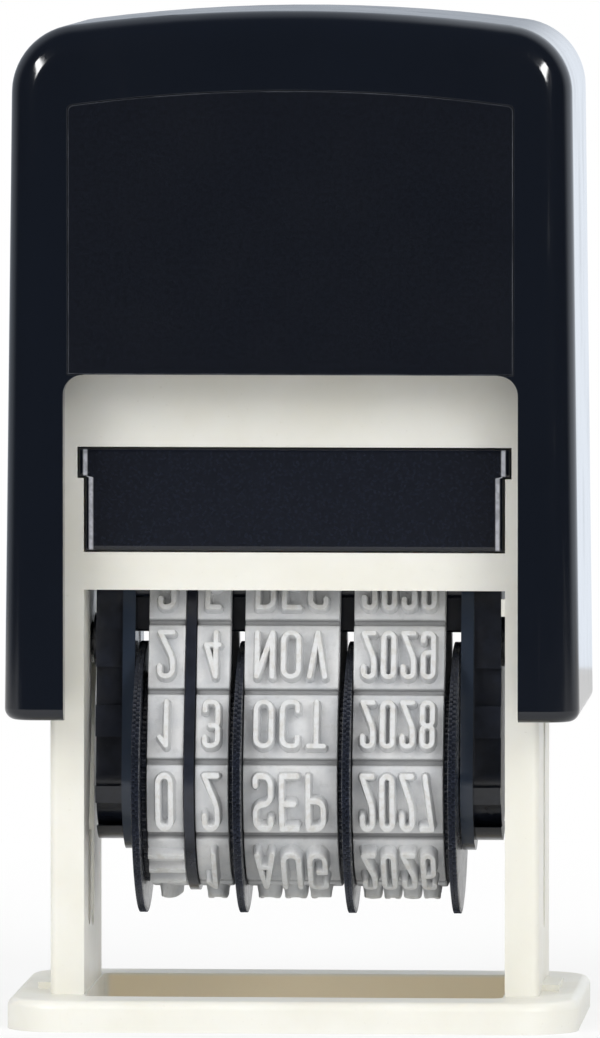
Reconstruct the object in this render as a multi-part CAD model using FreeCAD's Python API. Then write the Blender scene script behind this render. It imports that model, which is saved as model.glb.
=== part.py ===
import FreeCAD, Part
import math
import os

# A small self inking date stamp, in millimetres.
# +Z is up, -Y is the front, and the origin is the middle of the base's underside.
# Pressing the cap lowers the pivot pins, and a cam groove in each side wall turns the
# date carrier over on its way down, from the ink pad above to the paper below.

V = FreeCAD.Vector

# Heights and travel
overall_height = 71.4
stroke = 19.0
print_face_z = 34.5

# Base ring
base_width = 40.1
base_depth = 27.0
base_thickness = 2.2
base_corner_radius = 4.0
base_edge_radius = 0.6
print_window_side = 0.1
print_window_depth = 19.0
print_window_corner = 0.8
stop_pad_lap = 0.35
stop_pad_depth = 7.0
stop_pad_height = 0.45
landing_gap = 0.1

# Frame above the base
frame_wall = 2.4
frame_depth = 16.0
frame_height = 49.0
frame_edge_radius = 0.5
crossbar_height = 2.65
crossbar_drop = 1.15
crossbar_rail = 2.1
tray_wall = 1.5
tray_floor_thickness = 1.5
tray_rib = 1.2
catch_nub_size = 0.6
catch_nub_reach = 0.3
catch_nub_drop = 1.8

# Ink cartridge and pad
cartridge_height = 7.2
cartridge_inset = 0.1
cartridge_proud = 0.2
cartridge_rear_inset = 0.1
cartridge_wall = 1.3
cartridge_edge_radius = 0.35
ear_reach = 0.45
ear_height = 2.0
slide_clearance = 0.1
ink_gap = 0.3
pad_thickness = 4.6
pad_clearance = 0.2

# Return spring and its well
spring_radius = 4.1
spring_wire = 0.6
spring_wire_sides = 6
spring_turns = 6
spring_seat_gap = 0.15
well_radius = 5.0
well_floor_thickness = 1.0
spigot_radius = 3.3
spigot_length = 3.0

# Cap
cap_overhang = 0.11
cap_flare = 0.6
cap_depth = 25.2
cap_arch_radius = 119.0
cap_shoulder_radius = 4.8
cap_edge_radius = 2.0
cap_foot_radius = 0.8
cap_front_wall = 1.6
cap_roof = 2.6
cap_side_wall = 1.51
cap_side_room = 0.85
cap_inner_corner = 2.2
cap_window_side = 1.1
cap_window_top = 46.0
cap_window_corner = 1.4
guide_gap = 0.3
guide_rib = 1.0
boss_radius = 2.6

# Panel on the front of the cap
panel_side = 0.3
panel_top_drop = 5.5
panel_thickness = 0.5
panel_corner = 0.4
panel_clearance = 0.06

# Pins, bores and running gaps
pivot_radius = 1.2
pivot_engagement = 1.1
axle_radius = 1.25
running_gap = 0.05
slot_gap = 0.15
guide_pin_radius = 0.9
guide_pin_offset = 3.0
guide_groove_depth = 1.3
guide_pin_tip_gap = 0.15

# Date bands and wheels
wheel_z = 17.0
band_inner_radius = 6.3
band_thickness = 1.4
letter_height = 0.9
band_tiles = 12
tile_groove_depth = 0.45
tile_groove_width = 0.5
platen_flat = 3.4
platen_corner = 0.7
platen_height = 2.5
platen_spread = 0.15
platen_clearance = 0.08
drum_gap = 0.3
drum_wall = 1.1
hub_radius = 2.4
web_thickness = 0.8
disc_radius = 9.6
disc_thickness = 0.58
disc_teeth = 72
ring_radius = 7.4
ring_thickness = 0.34
ring_teeth = 54
tooth_depth = 0.2
side_gap = 0.05
cheek_gap = 0.08
divider_thickness = 0.68
divider_radius = 8.0
tens_margin = 1.28
units_margin = 1.02
month_margin = 1.032
year_margin = 1.06
month_letters = 3
year_digits = 4
letter_width_in_digits = 1.4

# Cheeks that carry the wheels
cheek_plate = 0.9
cheek_block = 1.91
cheek_radius = 5.1
cheek_top_radius = 1.3
cheek_top_drop = 1.4
cheek_side_gap = 0.5
cheek_boss_radius = 1.85
cheek_boss_gap = 0.2
guide_lug_radius = 1.5
block_inset = 0.7
pocket_depth = 0.8
pocket_bands = ((13.7, 15.4), (16.6, 20.1), (22.3, 25.0))
tenon_radius = 1.0

# How far a cutting piece runs past a face, and a joined piece runs into its neighbour
past = 1.0
sink = 0.5

# Places that follow from the sizes above
cap_width_top = base_width + 2 * (cap_overhang - cap_flare)
cap_inner_half = cap_width_top / 2 - cap_side_wall
frame_outer = cap_inner_half - cap_side_room
frame_half = frame_outer - frame_wall
carrier_half = frame_half - cheek_side_gap - cheek_block - cheek_plate
cap_window_width = 2 * (frame_half + cap_window_side)
panel_width = cap_window_width - 2 * panel_side
panel_top_z = overall_height - panel_top_drop
crossbar_top = print_face_z - crossbar_drop
crossbar_bottom = crossbar_top - crossbar_height
pad_window_depth = frame_depth - 2 * crossbar_rail
cartridge_half_width = frame_half - cartridge_inset
cartridge_front_y = -frame_depth / 2 - cartridge_proud
cartridge_rear_y = frame_depth / 2 - cartridge_rear_inset
cartridge_top = crossbar_top + slide_clearance + cartridge_height
slot_top = cartridge_top + slide_clearance
tray_floor_z = slot_top + tray_floor_thickness
well_floor_z = slot_top + well_floor_thickness
pad_bottom = print_face_z + ink_gap
cap_bottom = base_thickness + stop_pad_height + landing_gap + stroke
cap_inner_top = overall_height - cap_roof
cap_inner_y = cap_depth / 2 - cap_front_wall
pin_outer_x = cap_inner_half + pivot_engagement
print_radius = (print_face_z - stroke) / 2
pivot_z = print_face_z - print_radius
band_middle_radius = band_inner_radius + band_thickness / 2
platen_z = print_face_z - letter_height - band_thickness - platen_corner
corner_middle_radius = platen_corner + band_thickness / 2
drum_radius = band_inner_radius - drum_gap
tenon_z = platen_z - platen_height / 2 + platen_corner
wheel_side = disc_thickness + ring_thickness
cheek_top_z = print_face_z - cheek_top_drop


def box(x0, x1, y0, y1, z0, z1):
    return Part.makeBox(x1 - x0, y1 - y0, z1 - z0, V(x0, y0, z0))


def rod(radius, x0, x1, y, z):
    """A cylinder along X."""
    return Part.makeCylinder(radius, x1 - x0, V(x0, y, z), V(1, 0, 0))


def mirrored(shape):
    """The same piece on the other side of the middle plane."""
    return shape.mirror(V(0, 0, 0), V(1, 0, 0))


def edges_where(shape, test):
    return [edge for edge in shape.Edges if test(edge.BoundBox)]


def along_z(bounds):
    return bounds.ZLength > 1 and bounds.XLength < 0.01 and bounds.YLength < 0.01


def rounded_plate(half_x, half_y, z0, z1, radius):
    plate = box(-half_x, half_x, -half_y, half_y, z0, z1)
    return plate.makeFillet(radius, edges_where(plate, along_z))


def slot_along_z(radius, x0, x1, z_low, z_high):
    """A slot with round ends that runs up and down and passes through along X."""
    middle = box(x0, x1, -radius, radius, z_low, z_high)
    return middle.fuse([rod(radius, x0, x1, 0, z_low), rod(radius, x0, x1, 0, z_high)])


def tangent_normal(first, second):
    """The outward normal where a belt runs from one circle to the next, counter-clockwise."""
    dy = second[0] - first[0]
    dz = second[1] - first[1]
    length = math.hypot(dy, dz)
    along = (first[2] - second[2]) / length
    across = math.sqrt(1 - along * along)
    return V(0, dy * along + dz * across, dz * along - dy * across) / length


def belt_wire(circles, x):
    """A belt round circles of (y, z, radius), given counter-clockwise seen from +X."""
    edges = []
    for i, circle in enumerate(circles):
        before = tangent_normal(circles[i - 1], circle)
        following = circles[(i + 1) % len(circles)]
        after = tangent_normal(circle, following)
        centre = V(x, circle[0], circle[1])
        start = math.atan2(before.z, before.y)
        sweep = (math.atan2(after.z, after.y) - start) % (2 * math.pi)
        middle = V(0, math.cos(start + sweep / 2), math.sin(start + sweep / 2))
        leave = centre + after * circle[2]
        edges.append(Part.Arc(centre + before * circle[2], centre + middle * circle[2], leave).toShape())
        arrive = V(x, following[0], following[1]) + after * following[2]
        edges.append(Part.makeLine(leave, arrive))
    return Part.Wire(edges)


def belt_plate(circles, x0, x1):
    return Part.Face(belt_wire(circles, x0)).extrude(V(x1 - x0, 0, 0))


def loop_circles(offset):
    """The band's line round the wheel and the platen, moved out from its inner face by offset."""
    corner = platen_corner + offset
    return [
        (0, wheel_z, band_inner_radius + offset),
        (platen_flat / 2, platen_z, corner),
        (-platen_flat / 2, platen_z, corner),
    ]


def loop_measures():
    """The angle of the band's straight runs, their length and the whole length of its middle line."""
    reach = math.hypot(platen_flat / 2, platen_z - wheel_z)
    shrink = band_middle_radius - corner_middle_radius
    lean = math.atan2(platen_flat / 2, platen_z - wheel_z)
    turn = lean + math.acos(shrink / reach)
    run = math.sqrt(reach * reach - shrink * shrink)
    length = platen_flat + 2 * run + 2 * corner_middle_radius * turn
    length += band_middle_radius * 2 * (math.pi - turn)
    return turn, run, length


def loop_point(distance):
    """A point of the band's middle line and its outward normal, measured from the platen's middle."""
    turn, run, length = loop_measures()
    side = 1 if distance >= 0 else -1
    left = abs(distance)
    corner_arc = corner_middle_radius * turn
    if left <= platen_flat / 2:
        return V(0, side * left, platen_z + corner_middle_radius), V(0, 0, 1)
    left -= platen_flat / 2
    if left <= corner_arc:
        angle = left / corner_middle_radius
        normal = V(0, math.sin(angle), math.cos(angle))
        point = V(0, platen_flat / 2, platen_z) + normal * corner_middle_radius
    elif left <= corner_arc + run:
        normal = V(0, math.sin(turn), math.cos(turn))
        start = V(0, platen_flat / 2, platen_z) + normal * corner_middle_radius
        point = start + V(0, math.cos(turn), -math.sin(turn)) * (left - corner_arc)
    else:
        angle = turn + (left - corner_arc - run) / band_middle_radius
        normal = V(0, math.sin(angle), math.cos(angle))
        point = V(0, 0, wheel_z) + normal * band_middle_radius
    return V(0, side * point.y, point.z), V(0, side * normal.y, normal.z)


def tile_grooves(x0, x1):
    """The V grooves that part one date tile from the next."""
    length = loop_measures()[2]
    grooves = []
    for i in range(band_tiles):
        distance = ((i + 0.5) / band_tiles - 0.5) * length
        point, normal = loop_point(distance)
        along = V(0, normal.z, -normal.y)
        surface = point + normal * (band_thickness / 2)
        base = surface - normal * tile_groove_depth
        top = surface + normal * tile_groove_depth
        corners = [base, top + along * tile_groove_width, top - along * tile_groove_width, base]
        face = Part.Face(Part.makePolygon([V(x0, c.y, c.z) for c in corners]))
        grooves.append(face.extrude(V(x1 - x0, 0, 0)))
    return grooves


def date_band(x0, x1):
    """A moulded rubber loop round a wheel and the platen, with a tile for each entry."""
    outer = belt_plate(loop_circles(band_thickness), x0, x1)
    inner = belt_plate(loop_circles(0), x0, x1)
    return outer.cut(inner).cut(tile_grooves(x0, x1))


def toothed_disc(radius, teeth, x0, x1):
    """A thumb wheel's rim, with fine V teeth for grip."""
    points = []
    for i in range(2 * teeth):
        angle = math.pi * i / teeth
        reach = radius - tooth_depth * (i % 2)
        points.append(V(x0, reach * math.sin(angle), wheel_z + reach * math.cos(angle)))
    points.append(points[0])
    return Part.Face(Part.makePolygon(points)).extrude(V(x1 - x0, 0, 0))


def date_wheel(disc_face, band_near, band_far):
    """A thumb disc, a toothed ring beside the band and the drum that the band runs round."""
    side = 1 if band_far > band_near else -1
    ring_face = disc_face + side * disc_thickness
    drum_start = disc_face + side * wheel_side
    disc = toothed_disc(disc_radius, disc_teeth, *sorted((disc_face, ring_face)))
    ring = toothed_disc(ring_radius, ring_teeth, *sorted((ring_face, drum_start)))
    drum = rod(drum_radius, *sorted((drum_start, band_far)), 0, wheel_z)
    web_face = drum_start + side * web_thickness
    hollow = rod(drum_radius - drum_wall, *sorted((web_face, band_far)), 0, wheel_z)
    hollow = hollow.cut(rod(hub_radius, *sorted((web_face, band_far)), 0, wheel_z))
    bore = rod(axle_radius + running_gap, -frame_outer, frame_outer, 0, wheel_z)
    return disc.fuse([ring, drum]).cut(hollow).cut(bore).removeSplitter()


def platen_section(clearance):
    """The bar that the bands pass over, as circles for a belt outline."""
    top = platen_corner - clearance
    low_z = platen_z + 2 * platen_corner - platen_height
    low_half = platen_flat / 2 + platen_spread
    return [
        (-low_half, low_z, top),
        (low_half, low_z, top),
        (platen_flat / 2, platen_z, top),
        (-platen_flat / 2, platen_z, top),
    ]


def platen_bridge():
    bar = belt_plate(platen_section(platen_clearance), -carrier_half, carrier_half)
    reach = carrier_half + cheek_plate
    return bar.fuse(rod(tenon_radius, -reach, reach, 0, tenon_z))


def band_divider(x0, x1):
    """A thin plate that keeps the two day bands apart, hung on the axle and the platen."""
    top = platen_corner + band_thickness - platen_clearance
    circles = [
        (0, wheel_z, divider_radius),
        (platen_flat / 2, platen_z, top),
        (-platen_flat / 2, platen_z, top),
    ]
    plate = belt_plate(circles, x0, x1)
    plate = plate.cut(rod(axle_radius + running_gap, x0 - past, x1 + past, 0, wheel_z))
    return plate.cut(belt_plate(platen_section(platen_clearance - side_gap), x0 - past, x1 + past))


def cheek_circles(inset):
    top = cheek_top_radius - inset / 2
    top_z = cheek_top_z - cheek_top_radius - inset / 2
    return [
        (0, wheel_z, cheek_radius - inset),
        (platen_flat / 2, top_z, top),
        (-platen_flat / 2, top_z, top),
    ]


def right_cheek():
    """An end plate with a ribbed block, a bore for the pivot and a stub that runs in the cam groove."""
    plate_x = carrier_half + cheek_plate
    block_x = plate_x + cheek_block
    plate = belt_plate(cheek_circles(0), carrier_half, plate_x)
    block = belt_plate(cheek_circles(block_inset), plate_x, block_x)
    core = belt_plate(cheek_circles(block_inset + pocket_depth), plate_x, block_x)
    skin = block.cut(core)
    for low, high in pocket_bands:
        block = block.cut(skin.common(box(plate_x, block_x, -frame_depth, frame_depth, low, high)))
    pin_end = frame_half + guide_groove_depth - guide_pin_tip_gap
    stub = rod(guide_pin_radius, plate_x, pin_end, guide_pin_offset, pivot_z)
    lug = rod(guide_lug_radius, carrier_half, block_x, guide_pin_offset, pivot_z)
    boss = rod(cheek_boss_radius, plate_x, frame_half - cheek_boss_gap, 0, pivot_z)
    cheek = plate.fuse([block, stub, lug, boss])
    pivot_bore = rod(pivot_radius + running_gap, carrier_half - past, frame_half, 0, pivot_z)
    axle_bore = rod(axle_radius + running_gap, carrier_half - past, block_x - cheek_plate, 0, wheel_z)
    tenon_bore = rod(tenon_radius + running_gap, carrier_half - past, plate_x + running_gap, 0, tenon_z)
    return cheek.cut([pivot_bore, axle_bore, tenon_bore]).removeSplitter()


def cam_point(turn, offset):
    """A point beside the guide stub's path, when the carrier has turned by the given angle."""
    fall = stroke / math.pi
    y = guide_pin_offset * math.cos(turn)
    z = pivot_z - fall * turn + guide_pin_offset * math.sin(turn)
    dy = -guide_pin_offset * math.sin(turn)
    dz = guide_pin_offset * math.cos(turn) - fall
    size = math.hypot(dy, dz)
    return V(0, y - offset * dz / size, z + offset * dy / size)


def cam_groove(x0, x1):
    """The blind track that turns the carrier as the cap goes down."""
    half = guide_pin_radius + slot_gap
    steps = 12
    turns = [math.pi * i / steps for i in range(steps + 1)]
    one_side = Part.BSplineCurve()
    one_side.interpolate([cam_point(t, half) for t in turns])
    other_side = Part.BSplineCurve()
    other_side.interpolate([cam_point(t, -half) for t in reversed(turns)])
    edges = [one_side.toShape(), other_side.toShape()]
    for turn, way in ((math.pi, 1), (0, -1)):
        left = cam_point(turn, half)
        right = cam_point(turn, -half)
        middle = (left + right) / 2
        across = left - right
        tip = middle + V(0, across.z, -across.y) * (way / 2)
        edges.append(Part.Arc(left, tip, right).toShape())
    track = Part.Face(Part.Wire(Part.__sortEdges__(edges))).extrude(V(x1 - x0, 0, 0))
    return track.translate(V(x0, 0, 0))


def base_ring():
    plate = rounded_plate(base_width / 2, base_depth / 2, 0, base_thickness, base_corner_radius)
    rim = edges_where(plate, lambda b: b.ZLength < 0.01 and b.ZMin > base_thickness - 0.01)
    plate = plate.makeFillet(base_edge_radius, rim)
    window = rounded_plate(frame_half - print_window_side, print_window_depth / 2, -past,
                           base_thickness + past, print_window_corner)
    return plate.cut(window)


def frame_side():
    """The right side wall, with the pivot slot through it and the cam groove inside."""
    half_y = frame_depth / 2
    wall = box(frame_half, frame_outer, -half_y, half_y, base_thickness / 2, frame_height)
    outer = edges_where(wall, lambda b: along_z(b) and b.XMin > frame_half + frame_wall / 2)
    wall = wall.makeFillet(frame_edge_radius, outer)
    slot = slot_along_z(pivot_radius + slot_gap, frame_half - past, frame_outer + past,
                        pivot_z - stroke, pivot_z)
    wall = wall.cut([slot, cam_groove(frame_half, frame_half + guide_groove_depth)])
    pad = box(frame_outer - sink, cap_inner_half + stop_pad_lap, -stop_pad_depth / 2, stop_pad_depth / 2,
              base_thickness / 2, base_thickness + stop_pad_height)
    return wall.fuse(pad)


def frame_head():
    """The top of the frame: front and rear bars, the cartridge slot and the spring tray."""
    half_y = frame_depth / 2
    head = box(-frame_half, frame_half, -half_y, half_y, crossbar_bottom, frame_height)
    window = box(-frame_half, frame_half, -pad_window_depth / 2, pad_window_depth / 2,
                 crossbar_bottom - past, crossbar_top + past)
    low_half = cartridge_half_width + slide_clearance
    low_slot = box(-low_half, low_half, -half_y - past, half_y + past, crossbar_top, slot_top)
    well = Part.makeCylinder(well_radius, frame_height, V(0, 0, well_floor_z))
    cuts = [window, low_slot, well]
    for y0, y1 in ((-half_y + tray_wall, -tray_rib / 2), (tray_rib / 2, half_y - tray_wall)):
        pocket = box(well_radius + tray_wall, frame_half, y0, y1, tray_floor_z, frame_height + past)
        cuts += [pocket, mirrored(pocket)]
    return head.cut(cuts)


def ear_slot():
    half_y = frame_depth / 2 + past
    reach = cartridge_half_width + ear_reach + slide_clearance
    return box(-reach, reach, -half_y, half_y, cartridge_top - ear_height - slide_clearance, slot_top)


def make_frame():
    side = frame_side()
    nub_place = V(frame_half, -frame_depth / 2 + frame_edge_radius, crossbar_bottom - catch_nub_drop)
    nub = Part.makeCylinder(catch_nub_size / 2, 2 * catch_nub_size, nub_place)
    nub = nub.common(box(frame_half - catch_nub_reach, frame_half + sink, -frame_depth, 0, 0, frame_height))
    body = base_ring().fuse([side, mirrored(side), frame_head(), nub])
    return body.cut(ear_slot()).removeSplitter()


def ink_cartridge():
    """A T shaped tray, open below, that slides out to the front over the date."""
    bottom = crossbar_top + slide_clearance
    half = cartridge_half_width
    ear_half = half + ear_reach
    body = box(-half, half, cartridge_front_y, cartridge_rear_y, bottom, cartridge_top)
    ears = box(-ear_half, ear_half, cartridge_front_y, cartridge_rear_y,
               cartridge_top - ear_height, cartridge_top)
    tray = body.fuse(ears).removeSplitter()
    front = edges_where(tray, lambda b: b.YMax < cartridge_front_y + 0.01)
    tray = tray.makeFillet(cartridge_edge_radius, front)
    inner = half - cartridge_wall
    pad_half_y = pad_window_depth / 2
    cavity = box(-inner, inner, -pad_half_y, pad_half_y, bottom - past, pad_bottom + pad_thickness)
    channel = box(-inner, inner, 0, cartridge_rear_y + past, bottom - past, pad_bottom)
    return tray.cut([cavity, channel]).removeSplitter()


def ink_pad():
    half = cartridge_half_width - cartridge_wall - pad_clearance
    half_y = pad_window_depth / 2 - pad_clearance
    return box(-half, half, -half_y, half_y, pad_bottom, pad_bottom + pad_thickness)


def cap_outline():
    """The cap's front outline: straight flared sides under a shallow arch."""
    top_half = cap_width_top / 2
    bottom_half = top_half + cap_flare
    arch_z = overall_height - cap_arch_radius
    shoulder_z = arch_z + math.sqrt(cap_arch_radius ** 2 - top_half ** 2)
    y = -cap_depth / 2
    left = V(-top_half, y, shoulder_z)
    right = V(top_half, y, shoulder_z)
    arch = Part.Arc(right, V(0, y, overall_height), left).toShape()
    corners = [left, V(-bottom_half, y, cap_bottom), V(bottom_half, y, cap_bottom), right]
    sides = [Part.makeLine(corners[i], corners[i + 1]) for i in range(3)]
    return Part.Face(Part.Wire([arch] + sides))


def cap_body():
    solid = cap_outline().extrude(V(0, cap_depth, 0))
    high = overall_height - 2 * cap_shoulder_radius
    deep = cap_depth / 2
    shoulders = edges_where(solid, lambda b: b.YLength > deep and b.ZMin > high and b.XLength < 0.01)
    solid = solid.makeFillet(cap_shoulder_radius, shoulders)
    rims = edges_where(solid, lambda b: b.YLength < 0.01 and abs(b.YMin) > deep - 0.01
                       and b.ZMax > cap_bottom + 0.01)
    solid = solid.makeFillet(cap_edge_radius, rims)
    foot = edges_where(solid, lambda b: b.ZMax < cap_bottom + 0.01)
    return solid.makeFillet(cap_foot_radius, foot)


def cap_hollow():
    hollow = box(-cap_inner_half, cap_inner_half, -cap_inner_y, cap_inner_y,
                 cap_bottom - past, cap_inner_top)
    tops = edges_where(hollow, lambda b: b.YLength > cap_inner_y and b.ZMin > cap_inner_top - 0.01)
    return hollow.makeFillet(cap_inner_corner, tops)


def cap_window():
    """The opening through the front and rear walls that shows the date."""
    half = cap_window_width / 2
    opening = box(-half, half, -cap_depth, cap_depth, cap_bottom - past, cap_window_top)
    tops = edges_where(opening, lambda b: b.YLength > cap_depth and b.ZMin > cap_window_top - 0.01)
    return opening.makeFillet(cap_window_corner, tops)


def panel_outline(clearance, y):
    half = panel_width / 2 - clearance
    top = panel_top_z - clearance
    radius = cap_arch_radius - panel_top_drop
    corner_z = top - radius + math.sqrt(radius ** 2 - half ** 2)
    low = cap_window_top + clearance
    left = V(-half, y, corner_z)
    right = V(half, y, corner_z)
    arch = Part.Arc(right, V(0, y, top), left).toShape()
    corners = [left, V(-half, y, low), V(half, y, low), right]
    sides = [Part.makeLine(corners[i], corners[i + 1]) for i in range(3)]
    return Part.Face(Part.Wire([arch] + sides))


def panel_solid(clearance, y0, y1):
    solid = panel_outline(clearance, y0).extrude(V(0, y1 - y0, 0))
    middle_z = (cap_window_top + panel_top_z) / 2
    tops = edges_where(solid, lambda b: b.YLength > 0.01 and b.XLength < 0.01 and b.ZMin > middle_z)
    return solid.makeFillet(panel_corner, tops)


def cap_guides():
    """Ribs inside the cap that keep it square on the frame, and the bosses for the pivot pins."""
    reach = frame_depth / 2 + guide_gap
    rib_x = frame_outer - guide_rib
    rib_low = cap_bottom + guide_rib
    ribs = []
    front = box(rib_x, rib_x + guide_rib, -cap_inner_y - sink, -reach, rib_low, cap_inner_top)
    ribs.append(front)
    ribs.append(front.mirror(V(0, 0, 0), V(0, 1, 0)))
    side_x = frame_outer + guide_gap
    for y in (-frame_depth / 3, frame_depth / 3):
        ribs.append(box(side_x, cap_inner_half + sink, y - guide_rib / 2, y + guide_rib / 2,
                        rib_low, cap_inner_top - cap_inner_corner))
    ribs.append(rod(boss_radius, side_x, cap_inner_half + sink, 0, pivot_z))
    return ribs


def cap_shell():
    body = cap_body().cut([cap_hollow(), cap_window()])
    guides = cap_guides()
    spigot = Part.makeCylinder(spigot_radius, spigot_length + sink, V(0, 0, cap_inner_top - spigot_length))
    body = body.fuse(guides + [mirrored(g) for g in guides] + [spigot])
    recess = panel_solid(0, -cap_depth / 2 - past, -cap_depth / 2 + panel_thickness)
    pin_hole = rod(pivot_radius, frame_half, pin_outer_x, 0, pivot_z)
    return body.cut([recess, pin_hole, mirrored(pin_hole)]).removeSplitter()


def label_panel():
    front = -cap_depth / 2
    return panel_solid(panel_clearance, front, front + panel_thickness)


def pivot_pin():
    """A plain pin from the cap's boss, through the frame's slot, into the cheek's bore."""
    return rod(pivot_radius, carrier_half + running_gap, pin_outer_x, 0, pivot_z)


def wheel_axle():
    reach = carrier_half + cheek_block - running_gap
    return rod(axle_radius, -reach, reach, 0, wheel_z)


def coil_point(turn, low, high):
    angle = 2 * math.pi * turn
    rise = (high - low) * turn / spring_turns
    return V(spring_radius * math.cos(angle), spring_radius * math.sin(angle), low + rise)


def coil_tangent(turn, low, high):
    angle = 2 * math.pi * turn
    climb = (high - low) / (2 * math.pi * spring_turns)
    tangent = V(-spring_radius * math.sin(angle), spring_radius * math.cos(angle), climb)
    return tangent.normalize()


def arc_from(start, tangent, end):
    """A circular arc that leaves start along tangent and ends at end."""
    chord = end - start
    unit = V(chord).normalize()
    side = tangent - unit * tangent.dot(unit)
    half_angle = math.acos(max(-1, min(1, tangent.dot(unit)))) / 2
    middle = start + chord / 2 + side.normalize() * (chord.Length / 2 * math.tan(half_angle))
    return Part.Arc(start, middle, end).toShape()


def half_turn(p0, t0, p1, t1):
    """Two arcs that meet in one direction, which stand in for half a turn of a coil."""
    chord = p1 - p0
    total = t0 + t1
    square = 2 * (1 - t0.dot(t1))
    along = chord.dot(total)
    reach = (-along + math.sqrt(along * along + square * chord.dot(chord))) / square
    joint = (p0 + p1 + (t0 - t1) * reach) / 2
    first = arc_from(p0, t0, joint)
    second = arc_from(p1, t1 * -1, joint)
    second.reverse()
    return [first, second]


def coil_gap(low, high):
    """The least gap between one turn's wire and the next, on points round the coil."""
    steps = 24
    points = [coil_point(i / steps, low, high) for i in range(spring_turns * steps + 1)]
    least = min((points[i] - points[j]).Length
                for i in range(len(points)) for j in range(i + steps // 2, len(points)))
    return least - spring_wire


def wire_section(centre, along):
    """The wire's outline square to its line, with flat sides to keep the hidden coil light."""
    out = V(centre.x, centre.y, 0).normalize()
    across = along.cross(out)
    corners = []
    for i in range(spring_wire_sides + 1):
        angle = 2 * math.pi * (i % spring_wire_sides) / spring_wire_sides
        corners.append(centre + (out * math.cos(angle) + across * math.sin(angle)) * (spring_wire / 2))
    return Part.makePolygon(corners)


def return_spring():
    """One open coil of wire, between the frame's well and the cap's roof."""
    inset = spring_wire / 2 + spring_seat_gap
    low = well_floor_z + inset
    high = cap_inner_top - inset
    start = coil_point(0, low, high)
    leave = coil_tangent(0, low, high)
    edges = [Part.makeLine(start - leave * spring_wire, start)]
    for i in range(2 * spring_turns):
        a = i / 2
        b = (i + 1) / 2
        edges += half_turn(coil_point(a, low, high), coil_tangent(a, low, high),
                           coil_point(b, low, high), coil_tangent(b, low, high))
    end = coil_point(spring_turns, low, high)
    edges.append(Part.makeLine(end, end + coil_tangent(spring_turns, low, high) * spring_wire))
    path = Part.Wire(edges)
    profile = wire_section(start - leave * spring_wire, leave)
    print("spring: least gap to itself", round(coil_gap(low, high), 2), "mm")
    return path.makePipeShell([profile], True, False)


def carrier_layout():
    """The places along X of everything between the cheeks, from left to right."""
    gaps = 2 * cheek_gap + 4 * wheel_side + 8 * side_gap + divider_thickness
    margins = tens_margin + units_margin + month_margin + year_margin
    month_digits = month_letters * letter_width_in_digits
    digit_pitch = (2 * carrier_half - gaps - margins) / (2 + month_digits + year_digits)
    tens_width = digit_pitch + tens_margin
    widths = {
        "units": digit_pitch + units_margin,
        "month": digit_pitch * month_digits + month_margin,
        "year": digit_pitch * year_digits + year_margin,
    }
    x = -carrier_half + cheek_gap
    places = {"tens_disc": x}
    x += wheel_side + side_gap
    places["tens"] = (x, x + tens_width)
    x += tens_width + side_gap
    places["divider"] = (x, x + divider_thickness)
    x += divider_thickness + side_gap
    for name, width in widths.items():
        places[name] = (x, x + width)
        x += width + side_gap + wheel_side
        places[name + "_disc"] = x
        x += side_gap
    return places


def carrier_parts():
    places = carrier_layout()
    cheek = right_cheek()
    parts = {
        "right_cheek": cheek,
        "left_cheek": mirrored(cheek),
        "platen_bridge": platen_bridge(),
        "band_divider": band_divider(*places["divider"]),
        "wheel_axle": wheel_axle(),
    }
    for name in ("tens", "units", "month", "year"):
        near, far = places[name]
        parts[name + "_band"] = date_band(near, far)
        if name != "tens":
            near, far = far, near
        parts[name + "_wheel"] = date_wheel(places[name + "_disc"], near, far)
    return parts


def main():
    os.makedirs("parts", exist_ok=True)
    pin = pivot_pin()
    parts = {
        "frame": make_frame(),
        "return_spring": return_spring(),
        "ink_cartridge": ink_cartridge(),
        "ink_pad": ink_pad(),
        "cap_shell": cap_shell(),
        "label_panel": label_panel(),
        "right_pivot_pin": pin,
        "left_pivot_pin": mirrored(pin),
    }
    parts.update(carrier_parts())
    for name, shape in parts.items():
        solids = shape.Solids
        if len(solids) == 1:
            shape = solids[0]
        print(name, "solids", len(solids), "valid", shape.isValid(), "volume", round(shape.Volume, 1))
        shape.exportStep("parts/" + name + ".step")


main()
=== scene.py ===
import math

import bpy
from bpy.props import FloatProperty, FloatVectorProperty, IntProperty, PointerProperty
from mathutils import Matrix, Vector


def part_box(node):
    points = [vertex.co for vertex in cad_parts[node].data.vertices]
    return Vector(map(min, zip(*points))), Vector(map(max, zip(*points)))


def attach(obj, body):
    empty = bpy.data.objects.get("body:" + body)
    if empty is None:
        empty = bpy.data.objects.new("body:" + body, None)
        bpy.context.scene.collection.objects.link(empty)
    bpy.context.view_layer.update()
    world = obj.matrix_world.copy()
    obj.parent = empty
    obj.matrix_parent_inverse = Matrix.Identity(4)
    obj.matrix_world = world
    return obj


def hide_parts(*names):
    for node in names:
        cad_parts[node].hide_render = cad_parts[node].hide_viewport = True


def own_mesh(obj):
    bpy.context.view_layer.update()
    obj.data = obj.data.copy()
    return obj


bl_info = {
    "name": "Date stamp",
    "version": (1, 0, 0),
    "blender": (4, 5, 0),
    "location": "View3D > Sidebar > Date stamp",
    "description": "Finishes, raised date characters and a small studio for the packed date stamp",
    "category": "Object",
}

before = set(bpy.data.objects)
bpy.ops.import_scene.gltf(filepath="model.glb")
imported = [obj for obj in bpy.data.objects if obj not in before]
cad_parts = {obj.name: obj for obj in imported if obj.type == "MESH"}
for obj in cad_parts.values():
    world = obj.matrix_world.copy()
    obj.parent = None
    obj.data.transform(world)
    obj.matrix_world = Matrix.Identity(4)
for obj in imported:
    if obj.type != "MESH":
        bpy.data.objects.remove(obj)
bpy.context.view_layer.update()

MM = 0.001

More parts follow.
